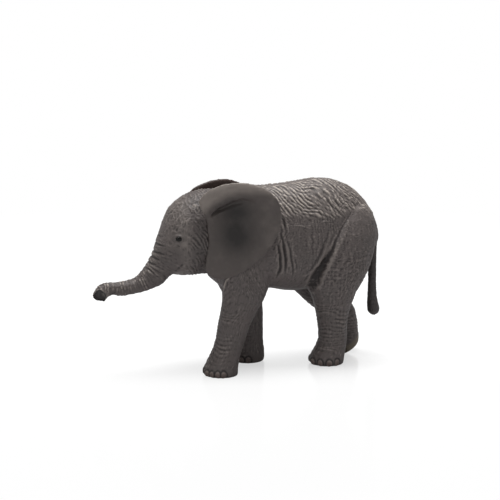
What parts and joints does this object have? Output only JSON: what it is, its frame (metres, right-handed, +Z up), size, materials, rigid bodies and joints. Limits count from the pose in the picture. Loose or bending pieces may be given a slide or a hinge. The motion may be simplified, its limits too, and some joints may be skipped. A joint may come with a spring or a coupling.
{
  "type": "toy elephant figure",
  "caption": "Rigid toy elephant calf walking with its trunk reaching forward and ears spread, no tusks, flat soles it stands on.",
  "frame": {"origin": "middle of the figure's box, at the height of the soles", "axes": "+Z up, -X the way the animal looks, -Y its left side"},
  "size_m": [0.0958, 0.0356, 0.0608],
  "materials": {
    "hide": "painted and dry-brushed, matt",
    "ear_hide": "painted, satin",
    "tail_hide": "painted, matt"
  },
  "bodies": {
    "root": {"torso": "hide", "head": "hide", "ear_left": "ear_hide", "ear_right": "ear_hide", "foreleg_left": "hide", "foreleg_right": "hide", "hind_leg_left": "hide", "hind_leg_right": "hide", "tail": "tail_hide"}
  },
  "joints": []
}
